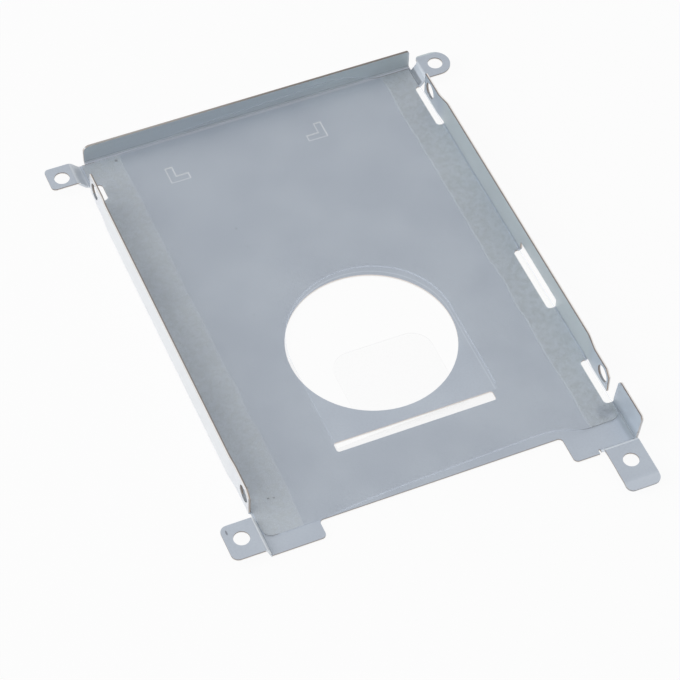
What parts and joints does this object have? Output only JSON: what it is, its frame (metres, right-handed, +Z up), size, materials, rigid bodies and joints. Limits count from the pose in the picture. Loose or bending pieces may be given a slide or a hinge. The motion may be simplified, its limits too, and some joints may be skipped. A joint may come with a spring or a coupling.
{
  "type": "laptop drive caddy",
  "caption": "Folded sheet-steel tray for a small drive, with screw ears in its side walls, raised mounting tabs, a round floor window and a bowed clear insulating film.",
  "frame": {"origin": "midway between the four drive screw holes, on the upper face of the floor sheet", "axes": "+X towards the side with the open fold cut-outs, +Y towards the back flange, +Z up out of the tray"},
  "size_m": [0.0852, 0.1122, 0.007],
  "materials": {
    "zinc_sheet": "satin bluish-grey zinc-coated sheet with brownish cut edges",
    "clear_film": "clear polyester film with two mottled bonded bands"
  },
  "bodies": {
    "root": {"drive_tray": "zinc_sheet", "insulating_film": "clear_film"}
  },
  "joints": []
}
